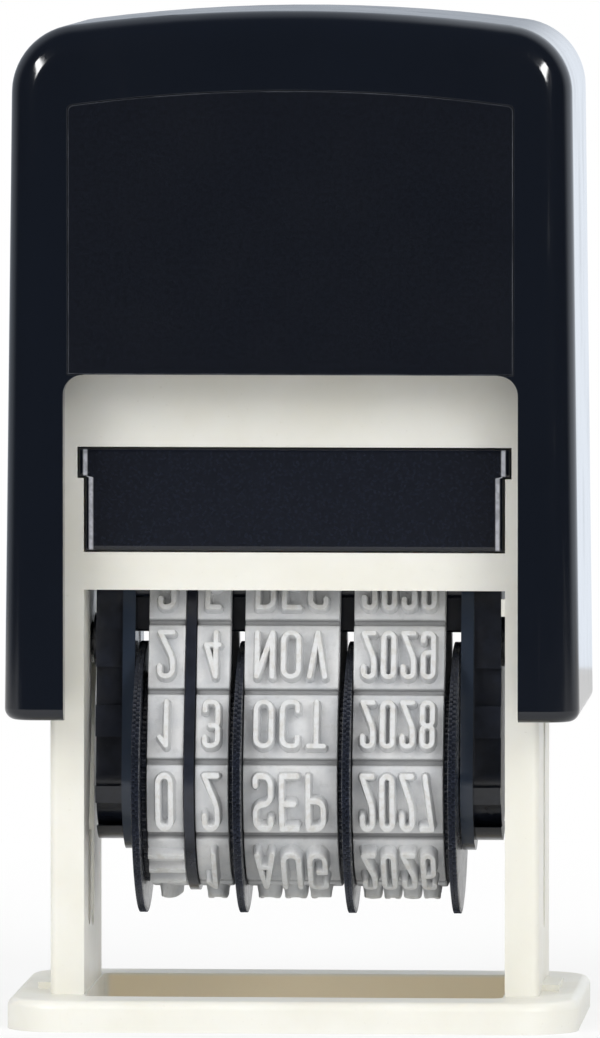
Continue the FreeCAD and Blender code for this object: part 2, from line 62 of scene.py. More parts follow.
# The band's loop round its wheel and the platen, as the part's source has it
WHEEL_Z = 17.0 * MM
PLATEN_Z = 31.5 * MM
PLATEN_HALF = 1.7 * MM
PLATEN_CORNER = 0.7 * MM
BAND_INNER = 6.3 * MM
BAND_THICKNESS = 1.4 * MM
TILES = 12

# The marks that a band's surface carries for its finish
HOLLOW = -1.0
LIP = -0.3
PLAIN = 0.0
TOP = 1.0

# A tile's face with its soft rims
TILE_STEPS = 12
RIM_WIDTH = 0.13 * MM
RIM_DROP = 0.12 * MM
RIM_ROUND = 0.03 * MM
RIM_ROUND_IN = RIM_WIDTH * 0.35

# A groove's floor, lip and end: places as shares of its half width, and the depths of floor and lip
GROOVE_FLOOR = 0.45
GROOVE_FLOOR_DEPTH = 0.9
GROOVE_LIP = 0.95
GROOVE_LIP_DEPTH = 0.06 * MM
GROOVE_END = 1.35

# A character's stroke from its side to the middle of its top, as shares of the top's half width and of
# the relief, each with its mark. A later stroke of a character is a little lower than the one before.
STROKE_SECTION = ((1.18, 0.55, 0.5), (1.02, 0.90, 0.95), (0.80, 0.98, TOP), (0.0, 1.0, TOP))
STROKE_SINK = 0.06 * MM
STROKE_STEP = 0.45 * MM
STROKE_DROP = 0.008
SAME_PLACE = 0.001 * MM
CORNER_STEPS = 6
END_STEPS = 4

# The cross ribs of a blank tile, with one rib's section as offset, height and mark
RIB_PITCH = 1.25 * MM
RIB_INSET = 0.04 * MM
RIB_SECTION = ((-0.30, -0.05, PLAIN), (-0.16, 0.62, TOP), (0.16, 0.62, TOP), (0.30, -0.05, PLAIN))

# A date wheel beside its band: radii, and distances from its thumb disc's outer face
DISC_RADIUS = 9.6 * MM
DISC_THICKNESS = 0.58 * MM
DISC_MARGIN = 0.9 * MM
RING_RADIUS = 7.4 * MM
RING_TOOTH_SHARE = 0.8
WHEEL_SIDE = 0.92 * MM
DRUM_RADIUS = 6.0 * MM
DRUM_WALL = 1.1 * MM
DRUM_CHAMFER = 0.08 * MM
HUB_RADIUS = 2.4 * MM
WEB_THICKNESS = 0.8 * MM
BORE_RADIUS = 1.3 * MM

# A toothed rim: how far its faces stay below the teeth, the shares of its width that a chamfer and a
# row of teeth take, and how steep and how flat a tooth is
RIM_SHOULDER = 0.12 * MM
RIM_CHAMFER = 0.08
RIM_TEETH = 0.38
TOOTH_STEEP = 1.5
TOOTH_FLAT = 0.25
TOOTH_POINTS = 4

# The bar under the platen bridge
BAR_HALF_X = 11.48 * MM
BAR_HALF_Y = 1.9 * MM
BAR_CHAMFER = 0.15 * MM
BAR_BOTTOM = 27.4 * MM
BAR_TOP = 29.9 * MM
BAR_STATIONS = (-11.2 * MM, -7.5 * MM, -4.2 * MM, 3.5 * MM, 11.2 * MM)

# The felt pad's section from below and from above: how far it draws in, as a share of its half depth,
# at a height in millimetres
PAD_BELOW = ((0.55, 0.0), (0.30, 0.02), (0.12, 0.07), (0.045, 0.16), (0.010, 0.34), (0.0, 0.62))
PAD_WAIST = 0.018
PAD_ABOVE = ((0.0, 0.62), (0.010, 0.34), (0.05, 0.12), (0.14, 0.02), (0.55, 0.0))
PAD_CORNER = 0.5 * MM
PAD_CORNER_LEAST = 0.15 * MM
PAD_CORNER_SHARE = 0.2
PAD_CORNER_STEPS = 6

# The return spring
SPRING_WIRE = 0.6 * MM
SPRING_TURNS = 6
SPRING_SIDES = 14
SPRING_STEPS = 40

# What the bands say, from the tile on the platen: "=" is a ribbed tile and "/" a slash
BANDS = ("tens", "units", "month", "year")
DAY_TENS = "/3210="
DAY_UNITS = "0123456789=/"
PLATEN_UNIT = 6
MONTHS = ("JAN", "FEB", "MAR", "APR", "MAY", "JUN", "JUL", "AUG", "SEP", "OCT", "NOV", "DEC")
PLATEN_YEAR = 2031

# Where a finish changes on its piece: the print window's rear face, with painted warm bounce light, the
# cheeks' outer plates, and the painted highlight line down the cartridge's front near each end, which is
# further out above a step
WINDOW_REAR_Y = 9.4 * MM
WINDOW_HALF = 14.2 * MM
WINDOW_LIP_Z = 1.9 * MM
PLATE_X = 11.94 * MM
PLATE_HALF = 0.40 * MM
LINE_X = 14.28 * MM
LINE_HALF = 0.09 * MM
LINE_STEP = 0.40 * MM
LINE_STEP_Z = 38.60 * MM
LINE_REAR_Y = -8.15 * MM

# Colours of dust, and of the painted highlights on edges and on the cartridge's front
DUST = (0.35, 0.35, 0.36, 1)
RUBBER_DUST = (0.30, 0.30, 0.29, 1)
CAP_EDGE_HIGHLIGHT = (0.075, 0.080, 0.090, 1)
PANEL_RIM_HIGHLIGHT = (0.14, 0.15, 0.17, 1)
PAINTED_HIGHLIGHT_LINE = (0.62, 0.63, 0.68, 1)

# The studio, in metres: softboxes as name, place, size and share of their power, then the lamps that
# only reflections show as name, place and tilt in degrees, the floor, and what reflections show
SOFTBOXES = (
    ("softbox_left", (-0.42, -0.55, 0.50), (0.40, 0.55), 1.0),
    ("softbox_right", (0.46, -0.55, 0.48), (0.36, 0.50), 0.9),
    ("softbox_top", (0.0, 0.05, 0.75), (0.5, 0.4), 0.7),
)
CAMERA_REACH = 20
SOFTBOX_AIM = (0, 0, 0.03)
GLINTS = (("glint_left", (-0.46, -0.62, 0.32), -35), ("glint_right", (0.40, -0.68, 0.30), 35))
GLINT_AIM = (0, 0, 0.067)
GLINT_SIZE = (0.46, 0.09)
FLOOR_HALF = 0.45
FLOOR_FRONT = -0.20
FLOOR_BACK = 0.38
FLOOR_FADE = (0.045, 0.16)
FLOOR_GLOW = 0.62
FLOOR_DARK = (0.90, 0.90, 0.90, 1)
FLOOR_LIGHT = (0.93, 0.93, 0.93, 1)
FRONT_REFLECTION = (0.05, 0.05, 0.055, 1)
LEFT_REFLECTION = (0.46, 0.50, 0.56, 1)
RIGHT_REFLECTION = (1.03, 1.10, 1.20, 1)
WHITE = (1, 1, 1, 1)


class BandSizes(bpy.types.PropertyGroup):
    letter_relief: FloatProperty(
        name="Letter relief", description="How far a character stands out",
        default=0.9 * MM, unit="LENGTH", precision=5)
    letter_height: FloatProperty(
        name="Letter height", description="Height of a character",
        default=3.15 * MM, unit="LENGTH", precision=5)
    day_width: FloatProperty(
        name="Day digit width", description="Width between a day digit's strokes",
        default=0.92 * MM, unit="LENGTH", precision=5)
    digit_width: FloatProperty(
        name="Year digit width", description="Width between a year digit's strokes",
        default=0.72 * MM, unit="LENGTH", precision=5)
    digit_pitch: FloatProperty(
        name="Digit pitch", description="From one digit of the year to the next",
        default=1.40 * MM, unit="LENGTH", precision=5)
    letter_width: FloatProperty(
        name="Month letter width", description="Width of a month's letter",
        default=1.08 * MM, unit="LENGTH", precision=5)
    letter_pitch: FloatProperty(
        name="Month letter pitch", description="From one month letter to the next",
        default=1.86 * MM, unit="LENGTH", precision=5)
    stroke_top: FloatProperty(
        name="Stroke top", description="Half width of a stroke's flat top",
        default=0.19 * MM, unit="LENGTH", precision=5)
    stroke_foot: FloatProperty(
        name="Stroke foot", description="Half width of a stroke at its tile",
        default=0.33 * MM, unit="LENGTH", precision=5)
    groove_half: FloatProperty(
        name="Groove half width", description="Half width of a groove",
        default=0.27 * MM, unit="LENGTH", precision=5)
    groove_depth: FloatProperty(
        name="Groove depth", description="Depth of the groove between tiles",
        default=0.4 * MM, unit="LENGTH", precision=5)


class WheelSizes(bpy.types.PropertyGroup):
    disc_teeth: IntProperty(
        name="Disc teeth", description="Teeth round a thumb disc, in each of two rows",
        default=150, min=20)
    ring_teeth: IntProperty(
        name="Ring teeth", description="Teeth round the ring beside the band",
        default=110, min=20)
    tooth_depth: FloatProperty(
        name="Tooth depth", description="How deep the rim's teeth are cut",
        default=0.24 * MM, unit="LENGTH", precision=5)


class StampColours(bpy.types.PropertyGroup):
    ivory: FloatVectorProperty(
        name="Frame ivory", description="Colour of the moulded frame",
        subtype="COLOR", size=4, min=0, max=1, default=(0.86, 0.85, 0.785, 1))
    cap: FloatVectorProperty(
        name="Cap black", description="Colour of the glossy cap",
        subtype="COLOR", size=4, min=0, max=1, default=(0.0044, 0.0062, 0.0105, 1))
    panel: FloatVectorProperty(
        name="Panel black", description="Colour of the cap's front panel",
        subtype="COLOR", size=4, min=0, max=1, default=(0.0042, 0.0055, 0.0092, 1))
    cartridge: FloatVectorProperty(
        name="Cartridge black", description="Colour of the ink cartridge",
        subtype="COLOR", size=4, min=0, max=1, default=(0.0052, 0.0068, 0.0120, 1))
    carrier: FloatVectorProperty(
        name="Carrier black", description="Colour of the date carrier and wheels",
        subtype="COLOR", size=4, min=0, max=1, default=(0.0105, 0.0128, 0.0195, 1))
    rubber: FloatVectorProperty(
        name="Band grey", description="Colour of the rubber date bands",
        subtype="COLOR", size=4, min=0, max=1, default=(0.69, 0.70, 0.715, 1))
    ink: FloatVectorProperty(
        name="Ink", description="Colour of the inked pad",
        subtype="COLOR", size=4, min=0, max=1, default=(0.012, 0.013, 0.035, 1))
    steel: FloatVectorProperty(
        name="Steel", description="Colour of the pins, axle and spring",
        subtype="COLOR", size=4, min=0, max=1, default=(0.56, 0.57, 0.58, 1))


class StudioSettings(bpy.types.PropertyGroup):
    camera_side: FloatProperty(
        name="Camera to the right", description="How far right of the middle",
        default=64.2 * MM, unit="LENGTH")
    camera_distance: FloatProperty(
        name="Camera distance", description="How far in front of the base",
        default=1021 * MM, unit="LENGTH")
    camera_height: FloatProperty(
        name="Camera height", description="Height of the camera above the floor",
        default=92.6 * MM, unit="LENGTH")
    aim_height: FloatProperty(
        name="Aim height", description="Height of the point the camera looks at",
        default=35.27 * MM, unit="LENGTH")
    aim_side: FloatProperty(
        name="Aim to the right", description="How far right of the middle it looks",
        default=-0.1 * MM, unit="LENGTH", precision=5)
    lens: FloatProperty(
        name="Lens", description="Focal length in millimetres on a 36 mm sensor",
        default=502.9, min=1)
    key_power: FloatProperty(
        name="Softbox power", description="Power of each front softbox, in watts",
        default=2.42, min=0)
    glint_power: FloatProperty(
        name="Glint power", description="Power of each glint lamp, in watts",
        default=4.0, min=0)
    fill: FloatProperty(
        name="Fill", description="Strength of the light from all round",
        default=0.52, min=0)


class Nodes:
    """The shader nodes of one finish or of the surroundings."""

    def __init__(self, tree):
        self.tree = tree

    def add(self, kind, **settings):
        node = self.tree.nodes.new(kind)
        for key, value in settings.items():
            setattr(node, key, value)
        return node

    def feed(self, value, socket):
        """Joins an output to the socket, or writes a plain value into it."""
        if hasattr(value, "is_output"):
            self.tree.links.new(value, socket)
        else:
            socket.default_value = value

    def span(self, value, low, high, first=0.0, last=1.0):
        """value from low to high, turned into first to last."""
        node = self.add("ShaderNodeMapRange", clamp=True, interpolation_type="SMOOTHSTEP")
        for key, number in (("From Min", low), ("From Max", high), ("To Min", first), ("To Max", last)):
            node.inputs[key].default_value = number
        self.feed(value, node.inputs["Value"])
        return node.outputs["Result"]

    def blend(self, amount, first, second):
        """A colour between first and second."""
        node = self.add("ShaderNodeMix", data_type="RGBA")
        self.feed(amount, node.inputs["Factor"])
        self.feed(first, node.inputs["A"])
        self.feed(second, node.inputs["B"])
        return node.outputs["Result"]

    def parts(self, vector):
        """The X, Y and Z of a vector."""
        node = self.add("ShaderNodeSeparateXYZ")
        self.feed(vector, node.inputs[0])
        return node.outputs


class Finish(Nodes):
    """A Principled shader whose colour, roughness and relief come from nodes in object space."""

    def __init__(self, name):
        self.material = bpy.data.materials.new(name)
        self.material.use_nodes = True
        super().__init__(self.material.node_tree)
        self.shader = self.tree.nodes["Principled BSDF"]
        self.place = self.add("ShaderNodeTexCoord").outputs["Object"]

    def stretched(self, stretch):
        mapping = self.add("ShaderNodeMapping")
        mapping.inputs["Scale"].default_value = stretch
        self.feed(self.place, mapping.inputs["Vector"])
        return mapping.outputs["Vector"]

    def noise(self, size, detail=3.0, roughness=0.55, stretch=None):
        """Cloudy noise with features of about this many millimetres."""
        node = self.add("ShaderNodeTexNoise")
        node.inputs["Scale"].default_value = 1 / (size * MM)
        node.inputs["Detail"].default_value = detail
        node.inputs["Roughness"].default_value = roughness
        self.feed(self.stretched(stretch) if stretch else self.place, node.inputs["Vector"])
        return node.outputs["Fac"]

    def patches(self, size, low, high, first=0.0, last=1.0, **noise_settings):
        """Noise from low to high, turned into first to last."""
        return self.span(self.noise(size, **noise_settings), low, high, first, last)

    def grains(self, size):
        """Rounded grains of about this many millimetres."""
        node = self.add("ShaderNodeTexVoronoi", feature="SMOOTH_F1")
        node.inputs["Scale"].default_value = 1 / (size * MM)
        node.inputs["Smoothness"].default_value = 0.6
        self.feed(self.place, node.inputs["Vector"])
        return node.outputs["Distance"]

    def reckon(self, operation, first, second=0.0):
        """What a Math node makes of two values."""
        node = self.add("ShaderNodeMath", operation=operation)
        self.feed(first, node.inputs[0])
        self.feed(second, node.inputs[1])
        return node.outputs["Value"]

    def minus(self, first, second):
        return self.reckon("SUBTRACT", first, second)

    def times(self, first, second):
        return self.reckon("MULTIPLY", first, second)

    def below(self, value, limit, fade):
        """1 where value is under the limit, and from there down to 0 within fade."""
        return self.span(value, limit, limit + fade, 1.0, 0.0)

    def axis(self, name):
        """The place along X, Y or Z, in metres."""
        return self.parts(self.place)[name]

    def away(self, value, middle=0.0):
        """How far value is from middle, either way."""
        return self.reckon("ABSOLUTE", self.minus(value, middle))

    def edge(self, width, start=0.04, end=0.35):
        """1 along sharp outer and inner edges, within about this many millimetres."""
        bevel = self.add("ShaderNodeBevel", samples=4)
        bevel.inputs["Radius"].default_value = width * MM
        dot = self.add("ShaderNodeVectorMath", operation="DOT_PRODUCT")
        self.feed(bevel.outputs["Normal"], dot.inputs[0])
        self.feed(self.add("ShaderNodeNewGeometry").outputs["Normal"], dot.inputs[1])
        return self.span(self.minus(1.0, dot.outputs["Value"]), start, end)

    def upward(self):
        """1 on faces that look up, where dust settles."""
        normal = self.add("ShaderNodeNewGeometry").outputs["Normal"]
        return self.span(self.parts(normal)["Z"], 0.3, 1.0)

    def relief(self, height, depth, strength, under=None):
        """Bump from a height between 0 and 1, this many millimetres deep."""
        bump = self.add("ShaderNodeBump")
        bump.inputs["Strength"].default_value = strength
        bump.inputs["Distance"].default_value = depth * MM
        self.feed(height, bump.inputs["Height"])
        if under:
            self.feed(under, bump.inputs["Normal"])
        return bump.outputs["Normal"]

    def set(self, **values):
        """Sockets of the shader by name, with underscores for spaces: an output or a plain value."""
        for key, value in values.items():
            self.feed(value, self.shader.inputs[key.replace("_", " ")])


def shade(colour, factor, tint=(1, 1, 1)):
    """The colour times a factor and a tint."""
    return (colour[0] * factor * tint[0], colour[1] * factor * tint[1], colour[2] * factor * tint[2], 1)


def colours():
    return bpy.context.scene.stamp_colours


def ivory_finish():
    """Cream moulded plastic with faint flow marks, specks and a fine grain, and warm bounce light painted
    behind the window.
    """
    base = tuple(colours().ivory)
    f = Finish("ivory_moulded")
    flow = f.patches(9.0, 0.35, 0.65, detail=4.0)
    tone = f.blend(flow, base, shade(base, 0.955, (1.0, 0.992, 0.965)))
    specks = f.patches(0.35, 0.68, 0.80, last=0.25, detail=2.0)
    tone = f.blend(specks, tone, shade(base, 0.70, (1.0, 0.96, 0.88)))
    # Painted warm bounce light: the low part of the print window's rear face is tinted warmer.
    low = f.span(f.axis("Z"), WINDOW_LIP_Z, WINDOW_LIP_Z + 0.4 * MM, 0.9, 0.0)
    rear_face = f.below(f.away(f.axis("Y"), WINDOW_REAR_Y), 0.2 * MM, 0.3 * MM)
    inside = f.times(rear_face, f.below(f.away(f.axis("X")), WINDOW_HALF, 0.4 * MM))
    tone = f.blend(f.times(low, inside), tone, shade(base, 1.08, (1.0, 0.85, 0.62)))
    grain = f.relief(f.noise(0.12, detail=2.0), 0.012, 0.5)
    f.set(Base_Color=tone, Roughness=f.patches(1.6, 0.3, 0.7, 0.34, 0.46),
          Normal=f.relief(f.noise(4.0, detail=2.0), 0.03, 0.35, grain), IOR=1.5,
          Subsurface_Weight=0.12, Subsurface_Scale=0.0012, Subsurface_Radius=(1.0, 0.85, 0.6))
    return f.material


def cap_finish():
    """Polished black plastic with hairline scratches, faint smears, a painted highlight along its edges
    and a trace of dust.
    """
    base = tuple(colours().cap)
    f = Finish("cap_polished")
    dust = f.times(f.patches(0.5, 0.60, 0.80, last=0.035, detail=5.0, roughness=0.7), f.upward())
    tone = f.blend(f.noise(14.0, detail=2.0), base, shade(base, 1.2, (1.0, 1.02, 1.04)))
    # Painted highlight: the cap's edges are painted lighter.
    tone = f.blend(f.times(f.edge(0.12, 0.05, 0.30), 0.6), tone, CAP_EDGE_HIGHLIGHT)
    smear = f.patches(7.0, 0.42, 0.70, 0.08, 0.13, detail=4.0, roughness=0.6, stretch=(1.0, 1.0, 0.35))
    hairline = f.patches(0.35, 0.62, 0.72, 0.0, 0.06, detail=2.0, roughness=0.5, stretch=(1.0, 1.0, 0.03))
    f.set(Base_Color=f.blend(dust, tone, DUST), Roughness=f.reckon("ADD", smear, hairline),
          Normal=f.relief(f.noise(3.0, detail=2.0), 0.006, 0.25), IOR=1.49)
    return f.material


def panel_finish():
    """Satin black panel with a fine even grain and a pale painted highlight along its rim."""
    base = tuple(colours().panel)
    f = Finish("panel_satin")
    tone = f.blend(f.patches(0.3, 0.35, 0.65), base, shade(base, 1.35))
    # Painted highlight along the panel's outline, broken up by noise.
    rim = f.times(f.edge(0.14, 0.03, 0.20), f.patches(3.0, 0.3, 0.65, 0.3, 1.0))
    f.set(Base_Color=f.blend(rim, tone, PANEL_RIM_HIGHLIGHT),
          Roughness=f.patches(6.0, 0.2, 0.8, 0.15, 0.18, detail=2.0),
          Normal=f.relief(f.grains(0.09), 0.003, 0.3), IOR=1.48)
    return f.material


def cartridge_finish():
    """Black plastic with a fine grain, edges painted lighter as wear and highlight, and a painted
    highlight line down its front near each end.
    """
    base = tuple(colours().cartridge)
    f = Finish("cartridge_grain")
    edge_wear_and_highlight = f.edge(0.12)
    tone = f.blend(f.patches(0.22, 0.35, 0.65), base, shade(base, 1.6))
    # Edges painted lighter, partly as wear and partly as a painted highlight; the same mask makes them a
    # little smoother.
    tone = f.blend(f.times(edge_wear_and_highlight, 0.35), tone, shade(base, 3.2))
    # Painted highlight: a light line down the front near each end, further out above the step, broken up
    # by noise.
    step = f.span(f.axis("Z"), LINE_STEP_Z, LINE_STEP_Z + 0.12 * MM, 0.0, LINE_STEP)
    line = f.away(f.minus(f.away(f.axis("X")), step), LINE_X)
    line = f.times(f.below(line, LINE_HALF, 0.11 * MM), f.below(f.axis("Y"), LINE_REAR_Y, 0.15 * MM))
    painted_highlight_line = f.times(line, f.patches(0.5, 0.3, 0.6, 0.65, 1.0))
    f.set(Base_Color=f.blend(painted_highlight_line, tone, PAINTED_HIGHLIGHT_LINE), Roughness=f.span(edge_wear_and_highlight, 0.0, 1.0, 0.19, 0.16),
          Normal=f.relief(f.grains(0.14), 0.006, 0.4), IOR=1.47)
    return f.material


def carrier_finish(name="carrier_satin", low=0.19, high=0.25, edge_polish_and_highlight=3.0):
    """Bluish black plastic, satin, with paler plates, edges painted lighter as polished wear and as a
    highlight, and a little rubber dust.
    """
    base = tuple(colours().carrier)
    f = Finish(name)
    tone = f.blend(f.patches(1.4, 0.35, 0.65, detail=4.0), base, shade(base, 1.5, (1.0, 1.0, 1.05)))
    plate = f.below(f.away(f.away(f.axis("X")), PLATE_X), PLATE_HALF, 0.10 * MM)
    tone = f.blend(plate, tone, shade(base, 2.9, (0.84, 1.06, 1.16)))
    tone = f.blend(f.patches(0.4, 0.62, 0.78, last=0.05, detail=5.0, roughness=0.7), tone, RUBBER_DUST)
    # Edges painted lighter: partly polished wear, partly a painted highlight.
    f.set(Base_Color=f.blend(f.times(f.edge(0.1), 0.5), tone, shade(base, edge_polish_and_highlight)),
          Roughness=f.patches(0.9, 0.3, 0.7, low, high),
          Normal=f.relief(f.noise(0.16, detail=2.0), 0.01, 0.5), IOR=1.48)
    return f.material


def rubber_finish():
    """Grey moulded rubber with stains, a paler painted lit tone on the tops of the characters, and painted
    shade in the hollows.
    """
    base = tuple(colours().rubber)
    f = Finish("band_rubber")
    mark = f.add("ShaderNodeAttribute", attribute_name="relief").outputs["Fac"]
    clouds = f.patches(2.2, 0.3, 0.7, detail=5.0, roughness=0.6)
    ground = f.blend(clouds, shade(base, 0.86, (0.98, 0.99, 1.0)), shade(base, 1.0, (1.0, 0.99, 0.97)))
    stain = f.patches(0.8, 0.50, 0.74, last=0.30, detail=5.0, roughness=0.7)
    ground = f.blend(stain, ground, shade(base, 0.55, (1.0, 0.98, 0.93)))
    # Painted light: the tops of the characters get their own paler, lit tone.
    tops = f.blend(f.patches(0.5, 0.4, 0.7, detail=4.0), shade(base, 0.99, (1.0, 1.0, 0.985)),
                   shade(base, 0.86, (1.0, 0.97, 0.91)))
    tone = f.blend(f.span(mark, 0.55, TOP), ground, tops)
    # Painted shade: the grooves between the tiles and their lips are darkened.
    tone = f.blend(f.span(mark, -0.25, -0.95, last=0.85), tone, shade(base, 0.30))
    pits = f.relief(f.grains(0.16), 0.02, 0.35)
    f.set(Base_Color=tone, Roughness=f.patches(0.7, 0.3, 0.7, 0.48, 0.66),
          Normal=f.relief(f.noise(0.5), 0.05, 0.45, pits), IOR=1.5, Sheen_Weight=0.05, Sheen_Roughness=0.5)
    return f.material


def felt_finish():
    """Felt soaked with dark ink: short fibres, wet in places."""
    base = tuple(colours().ink)
    f = Finish("ink_felt")
    fibres = f.noise(0.18, detail=5.0, roughness=0.7)
    wet = f.patches(2.4, 0.4, 0.6)
    f.set(Base_Color=f.blend(fibres, base, shade(base, 2.2)), Roughness=f.span(wet, 0.0, 1.0, 0.85, 0.42),
          Normal=f.relief(fibres, 0.06, 0.8), Sheen_Weight=0.25, Sheen_Roughness=0.6)
    return f.material


def steel_finish(name, stretch, bright=1.0):
    """Drawn steel with fine lines along its length and a little oil, bright or blackened."""
    base = shade(colours().steel, bright)
    f = Finish(name)
    lines = f.noise(0.25, roughness=0.6, stretch=stretch)
    oil = f.patches(2.0, 0.45, 0.7, last=0.12)
    f.set(Base_Color=f.blend(lines, shade(base, 0.85), shade(base, 1.12)),
          Roughness=f.minus(f.span(lines, 0.3, 0.7, 0.22, 0.36), oil),
          Normal=f.relief(lines, 0.006, 0.4), Metallic=1.0)
    return f.material


def dress(node, material):
    """Gives a CAD node its finish."""
    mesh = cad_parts[node].data
    mesh.materials.clear()
    mesh.materials.append(material)


def new_piece(name, points, faces, material, body, smooth_angle=35):
    """A piece from points and faces, smooth up to this angle, which rides its body."""
    mesh = bpy.data.meshes.new(name)
    mesh.from_pydata(points, [], faces)
    mesh.validate()
    mesh.materials.append(material)
    mesh.shade_smooth()
    mesh.set_sharp_from_angle(angle=math.radians(smooth_angle))
    piece = bpy.data.objects.new(name, mesh)
    bpy.context.scene.collection.objects.link(piece)
    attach(piece, body)
    return piece


def skin(rows, columns, start=0, ring=False, tube=True, flipped=False):
    """Faces between rows of points: a ring joins the last row to the first, a tube does so in each row."""
    faces = []
    for i in range(rows if ring else rows - 1):
        a = start + i * columns
        b = start + (i + 1) % rows * columns
        for k in range(columns if tube else columns - 1):
            following = (k + 1) % columns
            face = (a + k, a + following, b + following, b + k)
            faces.append(face[::-1] if flipped else face)
    return faces


def lids(rows, columns):
    """The two faces that close a tube at its ends, looking outwards."""
    return [tuple(reversed(range(columns))), tuple(range((rows - 1) * columns, rows * columns))]


class BandLoop:
    """The middle line of a band, from the middle of the platen, as the part's source works it out."""

    def __init__(self):
        reach = math.hypot(PLATEN_HALF, PLATEN_Z - WHEEL_Z)
        self.wheel = BAND_INNER + BAND_THICKNESS / 2
        self.corner = PLATEN_CORNER + BAND_THICKNESS / 2
        shrink = self.wheel - self.corner
        self.turn = math.atan2(PLATEN_HALF, PLATEN_Z - WHEEL_Z) + math.acos(shrink / reach)
        self.run = math.sqrt(reach * reach - shrink * shrink)
        self.length = 2 * (PLATEN_HALF + self.run + self.corner * self.turn
                           + self.wheel * (math.pi - self.turn))

    def at(self, distance):
        """A point (y, z) of the line and its outward normal."""
        half = self.length / 2
        distance = (distance + half) % self.length - half
        side = 1 if distance >= 0 else -1
        left = abs(distance)
        if left <= PLATEN_HALF:
            return (side * left, PLATEN_Z + self.corner), (0.0, 1.0)
        left -= PLATEN_HALF
        arc = self.corner * self.turn
        if left <= arc:
            angle = left / self.corner
            normal = (math.sin(angle), math.cos(angle))
            point = (PLATEN_HALF + normal[0] * self.corner, PLATEN_Z + normal[1] * self.corner)
        elif left <= arc + self.run:
            normal = (math.sin(self.turn), math.cos(self.turn))
            along = left - arc
            point = (PLATEN_HALF + normal[0] * self.corner + normal[1] * along,
                     PLATEN_Z + normal[1] * self.corner - normal[0] * along)
        else:
            angle = self.turn + (left - arc - self.run) / self.wheel
            normal = (math.sin(angle), math.cos(angle))
            point = (normal[0] * self.wheel, WHEEL_Z + normal[1] * self.wheel)
        return (side * point[0], point[1]), (side * normal[0], normal[1])

    def place(self, x, distance, height):
        """The point at x, this far round the loop and this far above the band's middle line."""
        point, normal = self.at(distance)
        return (x, point[0] + normal[0] * height, point[1] + normal[1] * height)


class BandMesh:
    """The points and faces of one band, each point with its mark, placed round the band's loop."""

    def __init__(self):
        self.loop = BandLoop()
        self.points = []
        self.faces = []
        self.marks = []

    def put(self, x, distance, height, mark):
        """A point this far above the tiles' face."""
        self.points.append(self.loop.place(x, distance, BAND_THICKNESS / 2 + height))
        self.marks.append(mark)


# Strokes of each character in a box one wide and one high. A corner marked ~ is round, any other
# corner starts a new stroke, and a leading o closes the line.
STROKES = {
    "0": ["o 0,0~ 0,1~ 1,1~ 1,0~"],
    "1": [".1,.80 .6,1 .6,0"],
    "2": ["0,.76 0,1~ 1,1~ 1,.58~ 0,0 1,0"],
    "3": ["0,.80 0,1~ 1,1~ 1,.54~ .4,.54", ".4,.54 1,.54~ 1,0~ 0,0~ 0,.20"],
    "4": [".74,0 .74,1 0,.28 1,.28"],
    "5": [".94,1 .06,1 .06,.58", ".06,.58 1,.58~ 1,0~ 0,0~ 0,.17"],
    "6": ["1,.83 1,1~ 0,1~ 0,0~ 1,0~ 1,.56~ .05,.56"],
    "7": ["0,1 1,1 .35,0"],
    "8": ["o 0,.53~ 0,1~ 1,1~ 1,.53~", "o 0,0~ 0,.53~ 1,.53~ 1,0~"],
    "9": ["0,.17 0,0~ 1,0~ 1,1~ 0,1~ 0,.44~ .95,.44"],
    "/": ["0,0 1,1"],
    "A": ["0,0 .5,1 1,0", ".16,.32 .84,.32"],
    "B": ["0,.54 1,.54~ 1,0~ 0,0 0,1 .94,1~ .94,.54~ 0,.54"],
    "C": ["1,.80 1,1~ 0,1~ 0,0~ 1,0~ 1,.20"],
    "D": ["0,0 0,1 1,1~ 1,0~ 0,0"],
    "E": ["1,1 0,1 0,0 1,0", "0,.52 .8,.52"],
    "F": ["1,1 0,1 0,0", "0,.52 .8,.52"],
    "G": ["1,.80 1,1~ 0,1~ 0,0~ 1,0~ 1,.46 .55,.46"],
    "J": ["1,1 1,0~ 0,0~ 0,.24"],
    "L": ["0,1 0,0 1,0"],
    "M": ["0,0 0,1 .5,.35 1,1 1,0"],
    "N": ["0,0 0,1 1,0 1,1"],
    "O": ["o 0,0~ 0,1~ 1,1~ 1,0~"],
    "P": ["0,0 0,1 1,1~ 1,.46~ 0,.46"],
    "R": ["0,0 0,1 1,1~ 1,.48~ 0,.48", ".45,.48 1,0"],
    "S": ["1,.82 1,1~ 0,1~ 0,.53~ 1,.53~ 1,0~ 0,0~ 0,.18"],
    "T": ["0,1 1,1", ".5,1 .5,0"],
    "U": ["0,1 0,0~ 1,0~ 1,1"],
    "V": ["0,1 .5,0 1,1"],
    "Y": ["0,1 .5,.5 1,1", ".5,.5 .5,0"],
}


def round_corner(before, corner, after, reach):
    """Points of an arc in place of the corner, which starts this far from it at most."""
    first = before - corner
    last = after - corner
    reach = min(reach, first.length / 2, last.length / 2)
    start = first.normalized() * reach
    end = last.normalized() * reach
    half = first.angle(last) / 2
    middle = (start + end).normalized() * (reach / math.cos(half))
    sweep = math.pi - 2 * half
    arc = []
    for k in range(CORNER_STEPS + 1):
        share = k / CORNER_STEPS
        spoke = (start - middle) * math.sin((1 - share) * sweep) + (end - middle) * math.sin(share * sweep)
        arc.append(corner + middle + spoke / math.sin(sweep))
    return arc


